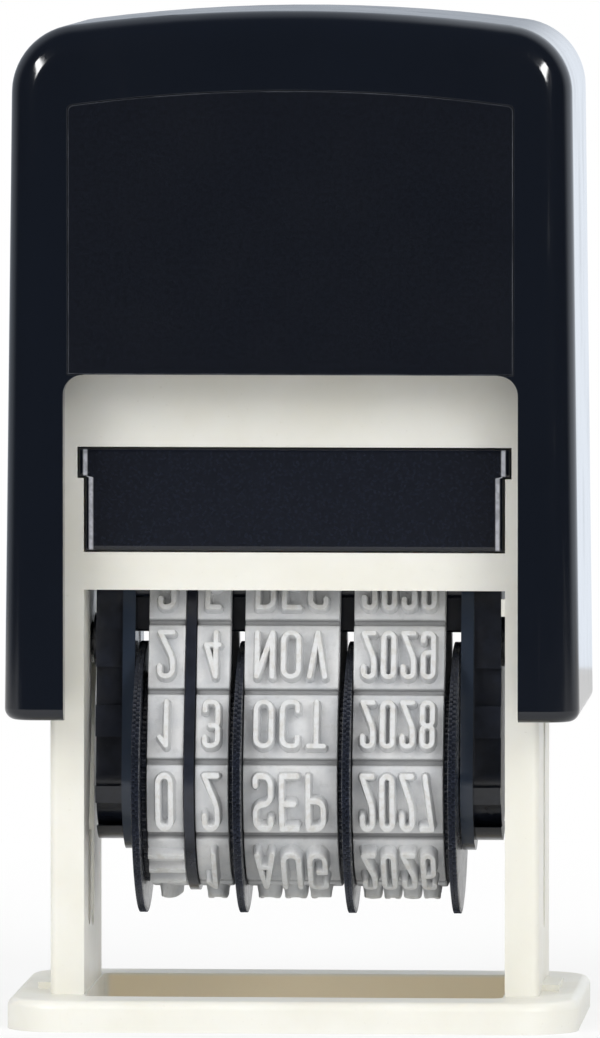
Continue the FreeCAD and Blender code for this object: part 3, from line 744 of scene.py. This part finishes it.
def stroke_paths(character, width, height):
    """The strokes of a character as (points, closed), in metres from its middle."""
    paths = []
    for text in STROKES[character]:
        closed = text.startswith("o ")
        marks = text.removeprefix("o ").split()
        corners = [Vector(float(n) - 0.5 for n in mark.rstrip("~").split(",")) for mark in marks]
        corners = [Vector((corner.x * width, corner.y * height)) for corner in corners]
        count = len(corners)
        points = []
        for i, corner in enumerate(corners):
            if marks[i].endswith("~"):
                points += round_corner(corners[i - 1], corner, corners[(i + 1) % count], width / 2)
                continue
            points.append(corner)
            if 0 < i < count - 1:
                paths.append((points, False))
                points = [corner]
        paths.append((points, closed))
    return paths


def finely(points, closed):
    """The same line in short pieces, so that it bends with the band."""
    fine = []
    for i, point in enumerate(points):
        if i == len(points) - 1 and not closed:
            fine.append(point)
            break
        following = points[(i + 1) % len(points)]
        pieces = max(1, math.ceil((following - point).length / STROKE_STEP))
        if (following - point).length > SAME_PLACE:
            fine += [point.lerp(following, k / pieces) for k in range(pieces)]
    return fine


def stroke_rows(points, closed):
    """Places along a stroke as (point, side, out, angle): a round end turns its section about the end."""
    count = len(points)
    rows = []
    for i, here in enumerate(points):
        first = here - points[i - 1] if closed or i else points[1] - here
        last = points[(i + 1) % count] - here if closed or i < count - 1 else here - points[i - 1]
        along = (first.normalized() + last.normalized()).normalized()
        rows.append((here, Vector((-along.y, along.x)), along, 0.0))
    if closed:
        return rows
    turns = [math.pi / 2 * k / END_STEPS for k in range(1, END_STEPS + 1)]
    here, side, along, _ = rows[0]
    head = [(here, side, -along, turn) for turn in reversed(turns)]
    here, side, along, _ = rows[-1]
    tail = [(here, side, along, turn) for turn in turns]
    return head + rows + tail


def add_character(mesh, character, x, distance, width):
    """A raised character centred at x and this far round the band, its foot towards the platen."""
    sizes = bpy.context.scene.band_sizes
    for index, (line, closed) in enumerate(stroke_paths(character, width, sizes.letter_height)):
        rise = sizes.letter_relief * (1 - STROKE_DROP * index)
        half_section = [(sizes.stroke_foot, -STROKE_SINK, PLAIN)]
        half_section += [(sizes.stroke_top * aside, rise * up, mark) for aside, up, mark in STROKE_SECTION]
        section = [(-offset, level, mark) for offset, level, mark in half_section]
        section += half_section[-2::-1]
        start = len(mesh.points)
        rows = stroke_rows(finely(line, closed), closed)
        for here, side, out, turn in rows:
            for offset, level, mark in section:
                spot = here + side * (offset * math.cos(turn)) + out * (abs(offset) * math.sin(turn))
                mesh.put(x + spot.x, distance - spot.y, level, mark)
        mesh.faces += skin(len(rows), len(section), start, ring=closed, tube=False)


def band_stations(length):
    """Places round the loop, each with its depth below the tiles' face and its mark."""
    sizes = bpy.context.scene.band_sizes
    tile = length / TILES
    floor = (sizes.groove_half * GROOVE_FLOOR, sizes.groove_depth * GROOVE_FLOOR_DEPTH, HOLLOW)
    lip = (sizes.groove_half * GROOVE_LIP, GROOVE_LIP_DEPTH, LIP)
    end = sizes.groove_half * GROOVE_END
    face = tile - 2 * end
    stations = []
    for k in range(TILES):
        start = (k - 0.5) * tile
        stations.append((start, sizes.groove_depth, HOLLOW))
        stations += [(start + reach, depth, mark) for reach, depth, mark in (floor, lip)]
        stations += [(start + end + face * i / TILE_STEPS, 0.0, PLAIN) for i in range(TILE_STEPS + 1)]
        stations += [(start + tile - reach, depth, mark) for reach, depth, mark in (lip, floor)]
    return stations


def add_belt(mesh, x0, x1):
    """The belt itself: tiles with soft rims outside, smooth inside."""
    face = [(x0, -RIM_DROP), (x0 + RIM_ROUND_IN, -RIM_ROUND), (x0 + RIM_WIDTH, 0.0),
            (x1 - RIM_WIDTH, 0.0), (x1 - RIM_ROUND_IN, -RIM_ROUND), (x1, -RIM_DROP)]
    stations = band_stations(mesh.loop.length)
    for distance, depth, mark in stations:
        mesh.put(x0, distance, -BAND_THICKNESS, PLAIN)
        for x, height in face:
            mesh.put(x, distance, height - depth, mark)
        mesh.put(x1, distance, -BAND_THICKNESS, PLAIN)
    mesh.faces += skin(len(stations), len(face) + 2, ring=True)


def add_ribs(mesh, x0, x1, distance):
    """Cross ribs on a blank tile."""
    for middle in (distance - RIB_PITCH, distance, distance + RIB_PITCH):
        a = len(mesh.points)
        for offset, level, mark in RIB_SECTION:
            for x in (x0 + RIB_INSET, x1 - RIB_INSET):
                mesh.put(x, middle + offset * MM, level * MM, mark)
        mesh.faces += skin(len(RIB_SECTION), 2, a, tube=False)
        mesh.faces += [(a, a + 2, a + 4, a + 6), (a + 1, a + 7, a + 5, a + 3)]


def band_text(band, k):
    """What stands on the tile k places below the platen, seen from the front."""
    if band == "tens":
        return DAY_TENS[k % len(DAY_TENS)]
    if band == "units":
        return DAY_UNITS[(PLATEN_UNIT - k) % TILES]
    if band == "month":
        return MONTHS[-k % len(MONTHS)]
    return str(PLATEN_YEAR - k)


def build_band(band, material):
    """One date band with its raised characters."""
    sizes = bpy.context.scene.band_sizes
    low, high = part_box(band + "_band")
    x0, x1 = low[0], high[0]
    mesh = BandMesh()
    add_belt(mesh, x0, x1)
    width = {"month": sizes.letter_width, "year": sizes.digit_width}.get(band, sizes.day_width)
    pitch = sizes.letter_pitch if band == "month" else sizes.digit_pitch
    for k in range(1 - TILES // 2, TILES // 2 + 1):
        text = band_text(band, k)
        distance = -k * mesh.loop.length / TILES
        if text == "=":
            add_ribs(mesh, x0, x1, distance)
            continue
        for i, character in enumerate(text):
            x = (x0 + x1) / 2 + (i - (len(text) - 1) / 2) * pitch
            add_character(mesh, character, x, distance, width)
    piece = new_piece(band + "_date_band", mesh.points, mesh.faces, material, "date_carrier")
    attribute = piece.data.attributes.new("relief", "FLOAT", "POINT")
    attribute.data.foreach_set("value", mesh.marks)
    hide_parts(band + "_band")


def toothed_rim(radius, low, high, teeth, depth, phase):
    """Rows across a rim between two faces, its second row of teeth out of step by this phase."""
    chamfer = (high - low) * RIM_CHAMFER
    flat = (high - low) * RIM_TEETH
    shoulder = (radius - depth - RIM_SHOULDER, 0.0, teeth, 0.0)
    return [(low, *shoulder), (low + chamfer, radius, depth, teeth, 0.0),
            (low + chamfer + flat, radius, depth, teeth, 0.0),
            (high - chamfer - flat, radius, depth, teeth, phase),
            (high - chamfer, radius, depth, teeth, phase), (high, *shoulder)]


def wheel_rows(width):
    """The wheel's section from bore to bore, as rows of (distance, radius, tooth depth, teeth, phase)."""
    sizes = bpy.context.scene.wheel_sizes
    web = WHEEL_SIDE + WEB_THICKNESS
    inner = DRUM_RADIUS - DRUM_WALL
    disc_side = [(0.0, BORE_RADIUS), (0.0, DISC_RADIUS - DISC_MARGIN)]
    drum_side = [(WHEEL_SIDE, DRUM_RADIUS), (width - DRUM_CHAMFER, DRUM_RADIUS),
                 (width, DRUM_RADIUS - DRUM_CHAMFER), (width, inner), (web + DRUM_CHAMFER, inner),
                 (web, inner - DRUM_CHAMFER), (web, HUB_RADIUS), (width, HUB_RADIUS), (width, BORE_RADIUS)]
    rows = [(x, radius, 0.0, 1, 0.0) for x, radius in disc_side]
    rows += toothed_rim(DISC_RADIUS, 0.0, DISC_THICKNESS, sizes.disc_teeth, sizes.tooth_depth, 0.5)
    rows += toothed_rim(RING_RADIUS, DISC_THICKNESS, WHEEL_SIDE, sizes.ring_teeth,
                        sizes.tooth_depth * RING_TOOTH_SHARE, 0.0)
    return rows + [(x, radius, 0.0, 1, 0.0) for x, radius in drum_side]


def build_wheel(band, material):
    """A date wheel: a thumb disc with fine staggered teeth, a toothed ring and a hollow drum on a hub."""
    low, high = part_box(band + "_wheel")
    band_low, band_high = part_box(band + "_band")
    right = high[0] - band_high[0] > band_low[0] - low[0]
    face, side = (high[0], -1) if right else (low[0], 1)
    rows = wheel_rows(high[0] - low[0])
    steps = TOOTH_POINTS * bpy.context.scene.wheel_sizes.disc_teeth
    points = []
    for x, radius, depth, teeth, phase in rows:
        for i in range(steps):
            angle = 2 * math.pi * i / steps
            wave = abs(2 * ((i * teeth / steps + phase) % 1.0) - 1)
            reach = radius - depth * min(1.0, max(0.0, TOOTH_STEEP * wave - TOOTH_FLAT))
            points.append((face + side * x, reach * math.sin(angle), WHEEL_Z + reach * math.cos(angle)))
    faces = skin(len(rows), steps, ring=True, flipped=not right)
    piece = new_piece(band + "_thumb_wheel", points, faces, material, band + "_dial",
                      smooth_angle=28)
    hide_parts(band + "_wheel")


def build_bar(material):
    """The bar under the platen bridge that shows in the gaps between the bands."""
    inner_y = BAR_HALF_Y - BAR_CHAMFER
    inner_z = BAR_BOTTOM + BAR_CHAMFER
    section = [(-BAR_HALF_Y, BAR_TOP), (-BAR_HALF_Y, inner_z), (-inner_y, BAR_BOTTOM),
               (inner_y, BAR_BOTTOM), (BAR_HALF_Y, inner_z), (BAR_HALF_Y, BAR_TOP)]
    stations = [-BAR_HALF_X, *BAR_STATIONS, BAR_HALF_X]
    points = [(x, y, z) for x in stations for y, z in section]
    faces = skin(len(stations), len(section)) + lids(len(stations), len(section))
    new_piece("bridge_web", points, faces, material, "date_carrier")


def pad_loop(half_x, half_y, corner, z, middle):
    """A rectangle with round corners, as points."""
    loop = []
    for k, (sign_x, sign_y) in enumerate(((1, 1), (-1, 1), (-1, -1), (1, -1))):
        for i in range(PAD_CORNER_STEPS + 1):
            angle = math.pi / 2 * k + math.pi / 2 * i / PAD_CORNER_STEPS
            loop.append((middle[0] + sign_x * (half_x - corner) + corner * math.cos(angle),
                         middle[1] + sign_y * (half_y - corner) + corner * math.sin(angle), z))
    return loop


def build_pad(material):
    """The felt pad: crowned below where the print face meets it, with soft rims and sides drawn in."""
    low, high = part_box("ink_pad")
    middle = ((low[0] + high[0]) / 2, (low[1] + high[1]) / 2)
    half_x, half_y = (high[0] - low[0]) / 2, (high[1] - low[1]) / 2
    rows = [(inset, low[2] + up * MM) for inset, up in PAD_BELOW]
    rows.append((PAD_WAIST, (low[2] + high[2]) / 2))
    rows += [(inset, high[2] - down * MM) for inset, down in PAD_ABOVE]
    points = []
    for inset, z in rows:
        draw = inset * half_y
        corner = max(PAD_CORNER_LEAST, PAD_CORNER - draw * PAD_CORNER_SHARE)
        points += pad_loop(half_x - draw, half_y - draw, corner, z, middle)
    columns = len(points) // len(rows)
    faces = skin(len(rows), columns) + lids(len(rows), columns)
    piece = new_piece("ink_felt_pad", points, faces, material, "ink_drawer", smooth_angle=60)
    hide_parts("ink_pad")


def build_spring(material):
    """The return spring of round wire, wound to the CAD spring's length; the cap presses the real one
    together as it goes down.
    """
    low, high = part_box("return_spring")
    wire = SPRING_WIRE / 2
    radius = (high[0] - low[0]) / 2 - wire
    bottom, top = low[2] + wire, high[2] - wire
    count = SPRING_TURNS * SPRING_STEPS
    slope = (top - bottom) / (2 * math.pi * SPRING_TURNS)
    points = []
    for i in range(count + 1):
        angle = 2 * math.pi * i / SPRING_STEPS
        outward = Vector((math.cos(angle), math.sin(angle), 0))
        along = Vector((-radius * math.sin(angle), radius * math.cos(angle), slope)).normalized()
        across = along.cross(outward)
        centre = Vector((radius * math.cos(angle), radius * math.sin(angle),
                         bottom + (top - bottom) * i / count))
        for k in range(SPRING_SIDES):
            turn = 2 * math.pi * k / SPRING_SIDES
            points.append(tuple(centre + (outward * math.cos(turn) + across * math.sin(turn)) * wire))
    faces = skin(count + 1, SPRING_SIDES) + lids(count + 1, SPRING_SIDES)
    piece = new_piece("return_spring_coil", points, faces, material, "housing",
                      smooth_angle=60)
    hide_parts("return_spring")
    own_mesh(piece)


class STAMP_OT_frame(bpy.types.Operator):
    """Finishes the ivory frame"""
    bl_idname = "stamp.frame"
    bl_label = "Frame"

    def execute(self, context):
        dress("frame", ivory_finish())
        return {"FINISHED"}


class STAMP_OT_cap(bpy.types.Operator):
    """Finishes the cap"""
    bl_idname = "stamp.cap"
    bl_label = "Cap"

    def execute(self, context):
        dress("cap_shell", cap_finish())
        return {"FINISHED"}


class STAMP_OT_panel(bpy.types.Operator):
    """Finishes the cap's front panel"""
    bl_idname = "stamp.panel"
    bl_label = "Front panel"

    def execute(self, context):
        dress("label_panel", panel_finish())
        return {"FINISHED"}


class STAMP_OT_cartridge(bpy.types.Operator):
    """Finishes the ink cartridge"""
    bl_idname = "stamp.cartridge"
    bl_label = "Ink cartridge"

    def execute(self, context):
        dress("ink_cartridge", cartridge_finish())
        return {"FINISHED"}


class STAMP_OT_pad(bpy.types.Operator):
    """Makes the felt ink pad"""
    bl_idname = "stamp.pad"
    bl_label = "Ink pad"

    def execute(self, context):
        build_pad(felt_finish())
        return {"FINISHED"}


class STAMP_OT_carrier(bpy.types.Operator):
    """Finishes the cheeks, the platen bridge and the divider, and builds the bar under the bridge"""
    bl_idname = "stamp.carrier"
    bl_label = "Date carrier"

    def execute(self, context):
        satin = carrier_finish()
        for node in ("left_cheek", "right_cheek", "platen_bridge", "band_divider"):
            dress(node, satin)
        build_bar(satin)
        return {"FINISHED"}


class STAMP_OT_wheels(bpy.types.Operator):
    """Builds the four date wheels with their staggered teeth"""
    bl_idname = "stamp.wheels"
    bl_label = "Date wheels"

    def execute(self, context):
        toothed = carrier_finish("wheel_black", low=0.23, high=0.30, edge_polish_and_highlight=6.0)
        for band in BANDS:
            build_wheel(band, toothed)
        return {"FINISHED"}


class STAMP_OT_pins(bpy.types.Operator):
    """Finishes the wheels' axle and the carrier's pivot pins"""
    bl_idname = "stamp.pins"
    bl_label = "Axle and pins"

    def execute(self, context):
        lengthwise = (0.04, 1.0, 1.0)
        dress("wheel_axle", steel_finish("axle_steel", lengthwise))
        blackened = steel_finish("pin_blackened", lengthwise, bright=0.05)
        for node in ("left_pivot_pin", "right_pivot_pin"):
            dress(node, blackened)
        return {"FINISHED"}


class STAMP_OT_bands(bpy.types.Operator):
    """Builds the four rubber date bands with their raised characters"""
    bl_idname = "stamp.bands"
    bl_label = "Date bands"

    def execute(self, context):
        material = rubber_finish()
        for band in BANDS:
            build_band(band, material)
        return {"FINISHED"}


class STAMP_OT_spring(bpy.types.Operator):
    """Winds the return spring"""
    bl_idname = "stamp.spring"
    bl_label = "Return spring"

    def execute(self, context):
        build_spring(steel_finish("spring_steel", (1.0, 1.0, 1.0)))
        return {"FINISHED"}


def stand(name, data, place, aim):
    """Puts a lamp or camera at a place, looking at aim."""
    holder = bpy.data.objects.new(name, data)
    holder.location = place
    holder.rotation_euler = (Vector(aim) - Vector(place)).to_track_quat("-Z", "Y").to_euler()
    bpy.context.scene.collection.objects.link(holder)
    return holder


def area_lamp(name, place, aim, size, power):
    lamp = bpy.data.lights.new(name, "AREA")
    lamp.shape = "RECTANGLE"
    lamp.size, lamp.size_y = size
    lamp.energy = power
    return stand(name, lamp, place, aim)


def add_lamps(studio):
    """Softboxes that no reflection shows, and two tilted lamps that only reflections show."""
    for name, place, size, share in SOFTBOXES:
        lamp = area_lamp(name, place, SOFTBOX_AIM, size, studio.key_power * share)
        lamp.visible_glossy = False
    for name, place, tilt in GLINTS:
        lamp = area_lamp(name, place, GLINT_AIM, GLINT_SIZE, studio.glint_power)
        lamp.rotation_euler.rotate_axis("Z", math.radians(tilt))
        lamp.visible_diffuse = False


def add_camera(studio):
    camera = bpy.data.cameras.new("camera")
    camera.lens = studio.lens
    camera.clip_end = CAMERA_REACH
    place = (studio.camera_side, -studio.camera_distance, studio.camera_height)
    aim = (studio.aim_side, 0, studio.aim_height)
    bpy.context.scene.camera = stand("camera", camera, place, aim)


def studio_world(strength):
    """White to the camera, even in soft light, and in reflections brighter behind the object."""
    world = bpy.data.worlds.new("studio")
    bpy.context.scene.world = world
    world.use_nodes = True
    world.node_tree.nodes.clear()
    n = Nodes(world.node_tree)
    path = n.add("ShaderNodeLightPath").outputs
    towards = n.parts(n.add("ShaderNodeTexCoord").outputs["Generated"])
    behind = n.blend(n.span(towards["X"], -0.05, 0.05), LEFT_REFLECTION, RIGHT_REFLECTION)
    reflected = n.blend(n.span(towards["Y"], -0.1, 0.45), FRONT_REFLECTION, behind)
    light = n.blend(path["Is Glossy Ray"], (strength, strength, strength, 1), reflected)
    light = n.blend(path["Is Transmission Ray"], light, WHITE)
    background = n.add("ShaderNodeBackground")
    n.feed(n.blend(path["Is Camera Ray"], light, WHITE), background.inputs["Color"])
    n.feed(background.outputs[0], n.add("ShaderNodeOutputWorld").inputs["Surface"])


def floor_finish():
    """A pale floor that keeps the object's shadow and turns into the white behind it."""
    f = Finish("studio_floor")
    f.set(Base_Color=f.blend(f.noise(60.0, detail=2.0), FLOOR_DARK, FLOOR_LIGHT), Roughness=0.9,
          Specular_IOR_Level=0.1)
    distance = f.add("ShaderNodeVectorMath", operation="LENGTH")
    f.feed(f.place, distance.inputs[0])
    white = f.span(distance.outputs["Value"], *FLOOR_FADE, FLOOR_GLOW, 1.0)
    seen = f.add("ShaderNodeLightPath").outputs["Is Camera Ray"]
    mix = f.add("ShaderNodeMixShader")
    f.feed(f.times(seen, white), mix.inputs["Fac"])
    f.feed(f.shader.outputs[0], mix.inputs[1])
    f.feed(f.add("ShaderNodeEmission").outputs[0], mix.inputs[2])
    f.feed(mix.outputs[0], f.tree.nodes["Material Output"].inputs["Surface"])
    return f.material


def add_floor():
    corners = [(-FLOOR_HALF, FLOOR_FRONT, 0), (FLOOR_HALF, FLOOR_FRONT, 0), (FLOOR_HALF, FLOOR_BACK, 0),
               (-FLOOR_HALF, FLOOR_BACK, 0)]
    mesh = bpy.data.meshes.new("floor")
    mesh.from_pydata(corners, [], [(0, 1, 2, 3)])
    mesh.materials.append(floor_finish())
    floor = bpy.data.objects.new("floor", mesh)
    bpy.context.scene.collection.objects.link(floor)


class STAMP_OT_stage(bpy.types.Operator):
    """Sets up the camera, the lamps, the floor and the world"""
    bl_idname = "stamp.stage"
    bl_label = "Camera and studio"

    def execute(self, context):
        studio = context.scene.studio_settings
        context.scene.view_settings.view_transform = "Standard"
        add_camera(studio)
        studio_world(studio.fill)
        add_lamps(studio)
        add_floor()
        return {"FINISHED"}


class STAMP_PT_sidebar(bpy.types.Panel):
    bl_label = "Date stamp"
    bl_idname = "STAMP_PT_sidebar"
    bl_space_type = "VIEW_3D"
    bl_region_type = "UI"
    bl_category = "Date stamp"

    def draw(self, context):
        for operator in OPERATORS:
            self.layout.operator(operator.bl_idname)
        for group, _ in GROUPS:
            settings = getattr(context.scene, group)
            box = self.layout.box()
            for key in settings.bl_rna.properties.keys():
                if key not in ("rna_type", "name"):
                    box.prop(settings, key)


OPERATORS = (STAMP_OT_stage, STAMP_OT_frame, STAMP_OT_cap, STAMP_OT_panel, STAMP_OT_cartridge,
             STAMP_OT_pad, STAMP_OT_carrier, STAMP_OT_wheels, STAMP_OT_pins, STAMP_OT_bands,
             STAMP_OT_spring)
GROUPS = (("band_sizes", BandSizes), ("wheel_sizes", WheelSizes), ("stamp_colours", StampColours),
          ("studio_settings", StudioSettings))


def register():
    for name, group in GROUPS:
        bpy.utils.register_class(group)
        setattr(bpy.types.Scene, name, PointerProperty(type=group))
    for kind in (*OPERATORS, STAMP_PT_sidebar):
        bpy.utils.register_class(kind)


def unregister():
    for kind in (STAMP_PT_sidebar, *reversed(OPERATORS)):
        bpy.utils.unregister_class(kind)
    for name, group in reversed(GROUPS):
        delattr(bpy.types.Scene, name)
        bpy.utils.unregister_class(group)


def main():
    register()
    for operator in OPERATORS:
        group, name = operator.bl_idname.split(".")
        getattr(getattr(bpy.ops, group), name)()


if __name__ == "__main__":
    main()
